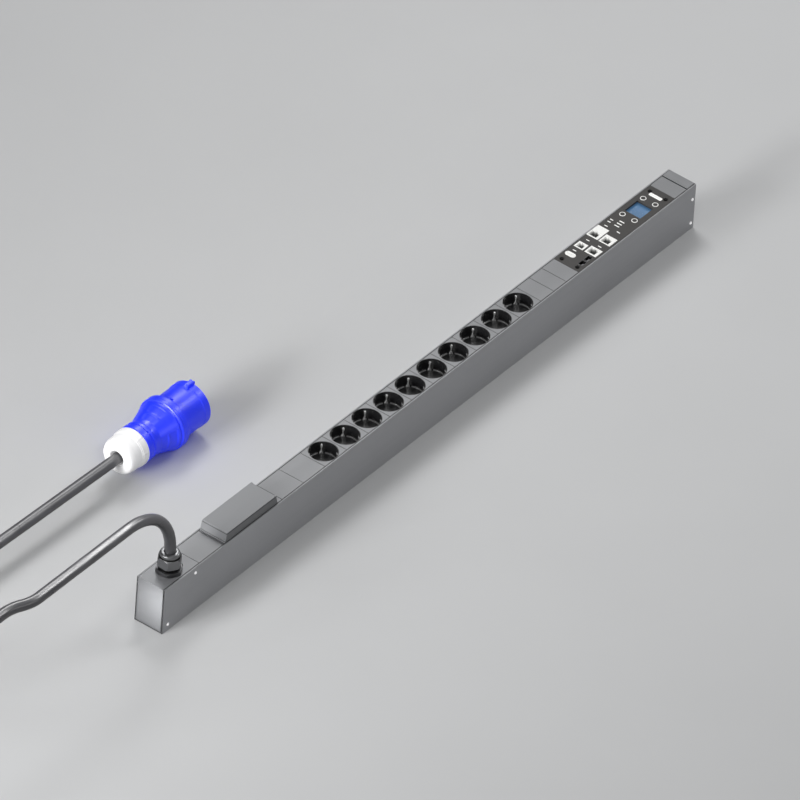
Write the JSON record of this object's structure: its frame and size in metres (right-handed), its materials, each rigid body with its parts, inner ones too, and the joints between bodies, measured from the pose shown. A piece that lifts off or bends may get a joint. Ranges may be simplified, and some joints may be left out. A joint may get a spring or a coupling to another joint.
{
  "type": "rack power strip",
  "caption": "Long grey rack power strip with round earthed sockets, hooded breaker module, controller panel with display, and a cable to a blue industrial inlet plug.",
  "frame": {"origin": "centre of the strip's flat rear face, midway along the channel", "axes": "+X along the strip from the cable end to the controller end, +Z out of the rear face towards the sockets, +Y towards the plug and cable loop"},
  "size_m": [1.5066, 0.2656, 0.1986],
  "materials": {
    "channel_grey": "satin anodised, fine lengthwise grain",
    "plate_grey": "satin anodised",
    "cap_grey": "satin anodised",
    "hood_grey": "satin",
    "insert_black": "gloss moulded",
    "clip_steel": "bright spring steel",
    "screw_steel": "zinc plated",
    "contact_copper": "plain",
    "gland_metal": "dark nickel plated",
    "seal_rubber": "matt",
    "cable_black": "satin sheath",
    "wire_insulation": "plain",
    "terminal_grey": "plain",
    "breaker_white": "moulded",
    "toggle_black": "moulded",
    "panel_dark": "satin powder coat",
    "panel_screw_black": "blackened",
    "board_green": "solder mask",
    "display_blue": "lit panel",
    "window_clear": "clear",
    "button_dark": "moulded",
    "jack_white": "moulded",
    "port_metal": "plain",
    "indicator_white": "diffusing",
    "plug_blue": "moulded",
    "nut_white": "moulded",
    "carrier_dark": "moulded",
    "pin_metal": "nickel plated"
  },
  "bodies": {
    "strip": {"profile_body": "channel_grey", "cable_end_cap": "cap_grey", "far_end_cap": "cap_grey", "end_cap_screws": "screw_steel", "blank_plates": "plate_grey", "socket_plates": "plate_grey", "socket_insert_01": "insert_black", "socket_insert_02": "insert_black", "socket_insert_03": "insert_black", "socket_insert_04": "insert_black", "socket_insert_05": "insert_black", "socket_insert_06": "insert_black", "socket_insert_07": "insert_black", "socket_insert_08": "insert_black", "socket_insert_09": "insert_black", "socket_insert_10": "insert_black", "earth_clips": "clip_steel", "busbar_live": "contact_copper", "busbar_neutral": "contact_copper", "busbar_earth": "contact_copper", "gland_body": "gland_metal", "gland_seal": "seal_rubber", "gland_dome_nut": "gland_metal", "gland_locknut": "gland_metal", "supply_cable": "cable_black", "internal_wires": "wire_insulation", "terminal_block": "terminal_grey", "breaker_base_plate": "plate_grey", "breaker_hood": "hood_grey", "lid_hinge_pin": "screw_steel", "circuit_breaker_1": "breaker_white", "circuit_breaker_2": "breaker_white", "controller_faceplate": "panel_dark", "faceplate_screws": "panel_screw_black", "faceplate_brackets": "screw_steel", "controller_pcb": "board_green", "display_module": "display_blue", "display_window": "window_clear", "button_rings": "jack_white", "tact_switches": "toggle_black", "data_jacks": "jack_white", "sensor_connector": "jack_white", "usb_ports": "port_metal", "light_pipes": "indicator_white", "power_supply_board": "board_green", "rear_insert_nuts": "screw_steel", "plug_nut": "nut_white", "plug_seal": "seal_rubber", "plug_body": "plug_blue", "plug_shroud": "plug_blue", "plug_pin_carrier": "carrier_dark", "plug_pins": "pin_metal"},
    "lid": {"breaker_lid": "hood_grey"},
    "toggle_1": {"breaker_toggle_1": "toggle_black"},
    "toggle_2": {"breaker_toggle_2": "toggle_black"},
    "button_1": {"button_1": "button_dark"},
    "button_2": {"button_2": "button_dark"},
    "button_3": {"button_3": "button_dark"},
    "button_4": {"button_4": "button_dark"}
  },
  "joints": [
    {"name": "lid_hinge", "type": "hinge", "parent": "strip", "child": "lid", "pos_m": [-0.3131, 0, 0.0829], "axis": [0, 1, 0], "range_deg": [0, 100]},
    {"name": "toggle_1_hinge", "type": "hinge", "parent": "strip", "child": "toggle_1", "pos_m": [-0.3595, -0.00885, 0.0712], "axis": [0, 1, 0], "range_deg": [0, 50]},
    {"name": "toggle_2_hinge", "type": "hinge", "parent": "strip", "child": "toggle_2", "pos_m": [-0.3595, 0.00885, 0.0712], "axis": [0, 1, 0], "range_deg": [0, 50]},
    {"name": "button_1_press", "type": "slide", "parent": "strip", "child": "button_1", "axis": [0, 0, -1], "range_m": [0, 0.0008]},
    {"name": "button_2_press", "type": "slide", "parent": "strip", "child": "button_2", "axis": [0, 0, -1], "range_m": [0, 0.0008]},
    {"name": "button_3_press", "type": "slide", "parent": "strip", "child": "button_3", "axis": [0, 0, -1], "range_m": [0, 0.0008]},
    {"name": "button_4_press", "type": "slide", "parent": "strip", "child": "button_4", "axis": [0, 0, -1], "range_m": [0, 0.0008]}
  ]
}
